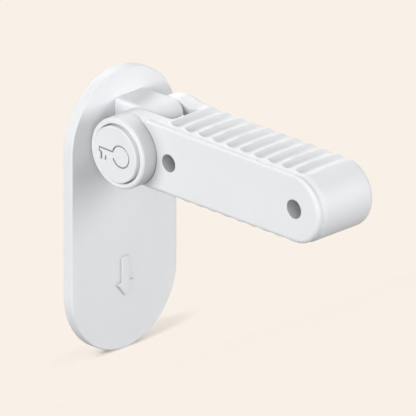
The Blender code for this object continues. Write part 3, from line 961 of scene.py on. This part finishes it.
button = {
    "face": -18.6,
    "radius": 9.65,
    "edge": 0.5,
    "skirtEnd": -12.9,
    "skirtBore": 8.4,
    "capBack": -16.0,
    "post": 3.1,
    "postEnd": -12.7,
    "pilot": 1.4,
    "pilotStart": -15.6,
}
keySign = {
    "bowCentre": (2.6, -0.05),
    "bowRadius": 3.9,
    "bowSteps": 40,
    "shaftTop": 1.1,
    "shaftBottom": -1.6,
    "end": -7.35,
    "endBottom": -0.45,
    "slant": (-6.35, -0.95),
    "teeth": ((-6.35, -5.2, -3.3), (-4.5, -3.35, -3.2)),
    "cornerRound": 0.18,
    # (depth below the face, inset of the outline) down the pocket's wall
    "wall": ((-0.4, -0.16), (0.03, -0.1), (0.1, 0.0), (0.2, 0.16), (0.25, 0.26)),
    "lineWidth": 0.5,
    "lineDepth": 0.8,
    "lineAbove": 0.5,
    "lineTaper": 0.85,
    "mitreLimit": 0.6,
}


def keyCorners():
    # (out from the door, up) round the key, measured from the button's centre
    centreUp = keySign["bowCentre"][1]
    radius = keySign["bowRadius"]
    top, bottom = keySign["shaftTop"], keySign["shaftBottom"]
    upper = math.degrees(math.asin((top - centreUp) / radius))
    lower = math.degrees(math.asin((centreUp - bottom) / radius))
    corners = arcPoints(radius, -180.0 + lower, 180.0 - upper, keySign["bowSteps"], keySign["bowCentre"])
    corners += [(keySign["end"], top), (keySign["end"], keySign["endBottom"]), keySign["slant"]]
    for left, right, low in keySign["teeth"]:
        if left != keySign["slant"][0]:
            corners.append((left, bottom))
        corners += [(left, low), (right, low), (right, bottom)]
    return corners


def keyLines():
    # engraved lines just inside the key's outline: round the bow, along the shaft's top and round
    # its end down the first tooth, and a short one down the second tooth
    inset = keySign["lineWidth"] / 2
    inside = insetCorners(list(reversed(keyCorners())), inset)
    inside = [tuple(corner) for corner in reversed(inside)]
    bowEnd = keySign["bowSteps"] + 1
    return (inside[: bowEnd + 4], inside[bowEnd + 6 : bowEnd + 8])


def addChannel(shape, line, wide, deep):
    # a channel along an open line on the button's face, a little narrower at its floor
    above, taper = keySign["lineAbove"], keySign["lineTaper"]
    rows = []
    for i, (out, up) in enumerate(line):
        back, ahead = Vector(line[max(i - 1, 0)]), Vector(line[min(i + 1, len(line) - 1)])
        along = (ahead - back).normalized()
        across = Vector((along.y, -along.x)) * (wide / 2)
        if 0 < i < len(line) - 1:
            into = (Vector(line[i]) - back).normalized()
            across /= max(abs(along.dot(into)), keySign["mitreLimit"])
        row = []
        for side, sink in ((1.0, -above), (taper, deep), (-taper, deep), (-1.0, -above)):
            place = Vector((out, up)) + across * side
            row.append(shape.verts.new((button["face"] + sink, -place.x, place.y)))
        rows.append(row)
    for row, ahead in zip(rows, rows[1:]):
        for i in range(4):
            j = (i + 1) % 4
            shape.faces.new((row[i], row[j], ahead[j], ahead[i]))
    shape.faces.new(rows[0])
    shape.faces.new(rows[-1])
    return shape


def buildButton():
    rolled = roundOver(button["edge"], button["edge"], 7)
    rim = [(button["face"] + along, button["radius"] - inset) for along, inset in rolled]
    profile = [(button["face"], 0.0), *rim]
    for x, radius in (
        ("skirtEnd", "radius"),
        ("skirtEnd", "skirtBore"),
        ("capBack", "skirtBore"),
        ("capBack", "post"),
        ("postEnd", "post"),
        ("postEnd", "pilot"),
        ("pilotStart", "pilot"),
    ):
        profile.append((button[x], button[radius]))
    profile.append((button["pilotStart"], 0.0))
    shape = addTurned(bmesh.new(), profile, steps=112)
    pocket = []
    for sink, inset in keySign["wall"]:
        corners = insetCorners(list(reversed(keyCorners())), inset)
        ring = roundedOutline(corners, keySign["cornerRound"], 3)
        pocket.append([(button["face"] + sink, -out, up) for out, up in ring])
    shape = carve(shape, addLoft(bmesh.new(), pocket), "DIFFERENCE")
    for line in keyLines():
        channel = addChannel(bmesh.new(), line, keySign["lineWidth"], keySign["lineDepth"])
        shape = carve(shape, channel, "DIFFERENCE")
    return shape


placePiece(
    "pushButton", buildButton(), pivotPoint, "button", ["lock_button"], whitePlastic
)

# Spring behind the button

spring = {
    "start": -15.3,
    "end": -10.1,
    "radius": 6.2,
    "wire": 0.4,
    "turns": 3.5,
    "stepsPerTurn": 32,
    "wireSteps": 10,
    "press": 3.0,  # how far the button goes in
}


def buildSpring():
    radius = spring["radius"]
    steps = int(spring["turns"] * spring["stepsPerTurn"])
    lead = (spring["end"] - spring["start"]) / (spring["turns"] * math.tau)  # along x for each radian
    rings = []
    for i in range(steps + 1):
        angle = math.tau * i / spring["stepsPerTurn"]
        outward = Vector((0.0, math.cos(angle), math.sin(angle)))
        along = Vector((lead, -radius * math.sin(angle), radius * math.cos(angle))).normalized()
        across = along.cross(outward)
        centre = Vector((spring["start"] + lead * angle, 0.0, 0.0)) + outward * radius
        section = arcPoints(spring["wire"], 0.0, 360.0, spring["wireSteps"])[:-1]
        rings.append([centre + outward * a + across * b for a, b in section])
    return addLoft(bmesh.new(), rings)


coilSpring = placePiece(
    "coilSpring", buildSpring(), pivotPoint, "button", ["button_spring"], screwSteel
)
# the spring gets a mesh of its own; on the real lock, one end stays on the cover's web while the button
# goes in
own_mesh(coilSpring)

# Pieces that stay as the frame has them

keptFinishes = {
    "adhesive_pad": adhesiveFoam,
    "block_screw_upper": screwSteel,
    "block_screw_lower": screwSteel,
    "arm_screw_rear": screwSteel,
    "arm_screw_front": screwSteel,
    "pivot_screw": screwSteel,
    "button_screw": screwSteel,
    "lock_bolt": greyAcetal,
}
for nodeName, finish in keptFinishes.items():
    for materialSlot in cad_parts[nodeName].material_slots:
        materialSlot.material = finish
print("finished", len(keptFinishes), "frame nodes")

# Floor, light and camera

studio = {
    "floorSize": 6000.0,
    "floorHeight": -59.0,
    "shelfHeight": -48.5,
    "shelfEdge": (-5.2, -6.4),
    "shelfSteps": 8,
    "contactAt": (3.0, 1.0, -48.5),
    "contactReach": (40.0, 6.5, 3.0),
    "contactStart": 0.6,
    "contactGlow": 0.1,
    "background": (0.947, 0.879, 0.807),
    "floorBounce": (0.12, 0.12, 0.12),
    "floorGlow": 0.98,
    "worldLight": (0.97, 0.985, 1.0),
    "worldStrength": 0.2,
    # name, direction to the light (turn, rise), softness in degrees, strength
    "lamps": (
        ("key", (38.0, 4.0), 40.0, 2.45),
        ("front", (-45.0, 4.0), 40.0, 1.95),
        ("left", (-90.0, 23.0), 60.0, 2.15),
        ("back", (152.0, 30.0), 38.0, 1.95),
    ),
    "lampColor": (1.0, 1.0, 1.0),
}


def seenRays(nodes, links):
    # 1 where the ray comes from the camera, or from a mirror or glass that shows the background
    path = nodes.new("ShaderNodeLightPath")
    first = nodes.new("ShaderNodeMath")
    first.operation = "MAXIMUM"
    links.new(path.outputs["Is Camera Ray"], first.inputs[0])
    links.new(path.outputs["Is Glossy Ray"], first.inputs[1])
    both = nodes.new("ShaderNodeMath")
    both.operation = "MAXIMUM"
    links.new(first.outputs["Value"], both.inputs[0])
    links.new(path.outputs["Is Transmission Ray"], both.inputs[1])
    return both.outputs["Value"]


def makeFloor():
    # The plate stands on a low shelf of the same paper. It ends in front of the plate, so that
    # the folded arm hangs past it. From behind, the shelf hides the folded arm's lower end.
    size, (edge, foot) = studio["floorSize"], studio["shelfEdge"]
    profile = [(size, studio["shelfHeight"])]
    for i in range(studio["shelfSteps"] + 1):
        share = i / studio["shelfSteps"]
        drop = smoothStep(share) * (studio["floorHeight"] - studio["shelfHeight"])
        profile.append((edge + (foot - edge) * share, studio["shelfHeight"] + drop))
    profile.append((-size, studio["floorHeight"]))
    shape = bmesh.new()
    rows = []
    for y, z in profile:
        rows.append([shape.verts.new(Vector((x, y, z)) * metresPerMm) for x in (-size, size)])
    for (a, b), (c, d) in zip(rows, rows[1:]):
        shape.faces.new((a, b, d, c))
    floor = looseObject("studioFloor", shape)
    material = bpy.data.materials.new("studio paper")
    material.use_nodes = True
    nodes, links = material.node_tree.nodes, material.node_tree.links
    paper = nodes["Principled BSDF"]
    paper.inputs["Base Color"].default_value = (*studio["background"], 1.0)
    paper.inputs["Roughness"].default_value = 1.0
    paper.inputs["Specular IOR Level"].default_value = 0.0
    glow = nodes.new("ShaderNodeEmission")
    glow.inputs["Color"].default_value = (*studio["background"], 1.0)
    # shadows show right under the plate, and are faint on the rest of the paper
    place = nodes.new("ShaderNodeTexCoord")
    fromPlate = nodes.new("ShaderNodeMapping")
    fromPlate.vector_type = "TEXTURE"
    fromPlate.inputs["Location"].default_value = Vector(studio["contactAt"]) * metresPerMm
    fromPlate.inputs["Scale"].default_value = Vector(studio["contactReach"]) * metresPerMm
    away = nodes.new("ShaderNodeVectorMath")
    away.operation = "LENGTH"
    share = nodes.new("ShaderNodeMapRange")
    share.interpolation_type = "SMOOTHSTEP"
    share.inputs["From Min"].default_value = studio["contactStart"]
    share.inputs["To Min"].default_value = studio["contactGlow"]
    share.inputs["To Max"].default_value = studio["floorGlow"]
    links.new(place.outputs["Object"], fromPlate.inputs["Vector"])
    links.new(fromPlate.outputs["Vector"], away.inputs[0])
    links.new(away.outputs["Value"], share.inputs["Value"])
    soft = nodes.new("ShaderNodeMixShader")
    links.new(share.outputs["Result"], soft.inputs["Fac"])
    links.new(paper.outputs["BSDF"], soft.inputs[1])
    links.new(glow.outputs["Emission"], soft.inputs[2])
    # the floor is pale to look at, and sends little light up under the object
    bounce = nodes.new("ShaderNodeBsdfDiffuse")
    bounce.inputs["Color"].default_value = (*studio["floorBounce"], 1.0)
    mix = nodes.new("ShaderNodeMixShader")
    links.new(seenRays(nodes, links), mix.inputs["Fac"])
    links.new(bounce.outputs["BSDF"], mix.inputs[1])
    links.new(soft.outputs["Shader"], mix.inputs[2])
    links.new(mix.outputs["Shader"], nodes["Material Output"].inputs["Surface"])
    floor.data.materials.append(material)


def makeWorld():
    world = bpy.data.worlds.new("studio")
    bpy.context.scene.world = world
    world.use_nodes = True
    nodes, links = world.node_tree.nodes, world.node_tree.links
    light = nodes["Background"]
    light.inputs["Color"].default_value = (*studio["worldLight"], 1.0)
    light.inputs["Strength"].default_value = studio["worldStrength"]
    seen = nodes.new("ShaderNodeBackground")
    seen.inputs["Color"].default_value = (*studio["background"], 1.0)
    mix = nodes.new("ShaderNodeMixShader")
    links.new(seenRays(nodes, links), mix.inputs["Fac"])
    links.new(light.outputs["Background"], mix.inputs[1])
    links.new(seen.outputs["Background"], mix.inputs[2])
    links.new(mix.outputs["Shader"], nodes["World Output"].inputs["Surface"])


def makeLamps():
    for name, (turn, rise), softness, strength in studio["lamps"]:
        data = bpy.data.lights.new(name, "SUN")
        data.angle = math.radians(softness)
        data.energy = strength
        data.color = studio["lampColor"]
        lamp = bpy.data.objects.new(name, data)
        turn, rise = math.radians(turn), math.radians(rise)
        level = math.cos(rise)
        toward = Vector((math.sin(turn) * level, -math.cos(turn) * level, math.sin(rise)))
        lamp.rotation_euler = toward.to_track_quat("Z", "Y").to_euler()
        bpy.context.scene.collection.objects.link(lamp)


# The photograph has no perspective, so the camera has none either.
shot = {
    "turn": 45.29,
    "rise": 22.14,
    "pixelsPerMm": 3.112,
    "pixels": 416,
    "plateCentrePixel": (124.575, 207.873),
    "distance": 0.6,
    "clip": (0.01, 20.0),
}


def makeCamera():
    turn, rise = math.radians(shot["turn"]), math.radians(shot["rise"])
    right = Vector((math.cos(turn), -math.sin(turn), 0.0))
    lift = math.sin(rise)
    up = Vector((math.sin(turn) * lift, math.cos(turn) * lift, math.cos(rise)))
    back = right.cross(up)
    middle = shot["pixels"] / 2
    sideways = (middle - shot["plateCentrePixel"][0]) / shot["pixelsPerMm"]
    upwards = (shot["plateCentrePixel"][1] - middle) / shot["pixelsPerMm"]
    aim = Vector((0.0, plate["front"], 0.0)) + right * sideways + up * upwards
    data = bpy.data.cameras.new("camera")
    data.type = "ORTHO"
    data.ortho_scale = shot["pixels"] / shot["pixelsPerMm"] * metresPerMm
    data.clip_start, data.clip_end = shot["clip"]
    camera = bpy.data.objects.new("camera", data)
    camera.location = aim * metresPerMm + back * shot["distance"]
    camera.rotation_euler = (-back).to_track_quat("-Z", "Y").to_euler()
    bpy.context.scene.collection.objects.link(camera)
    bpy.context.scene.camera = camera


makeFloor()
makeWorld()
makeLamps()
makeCamera()
bpy.context.scene.view_settings.view_transform = "Standard"
print("studio set")
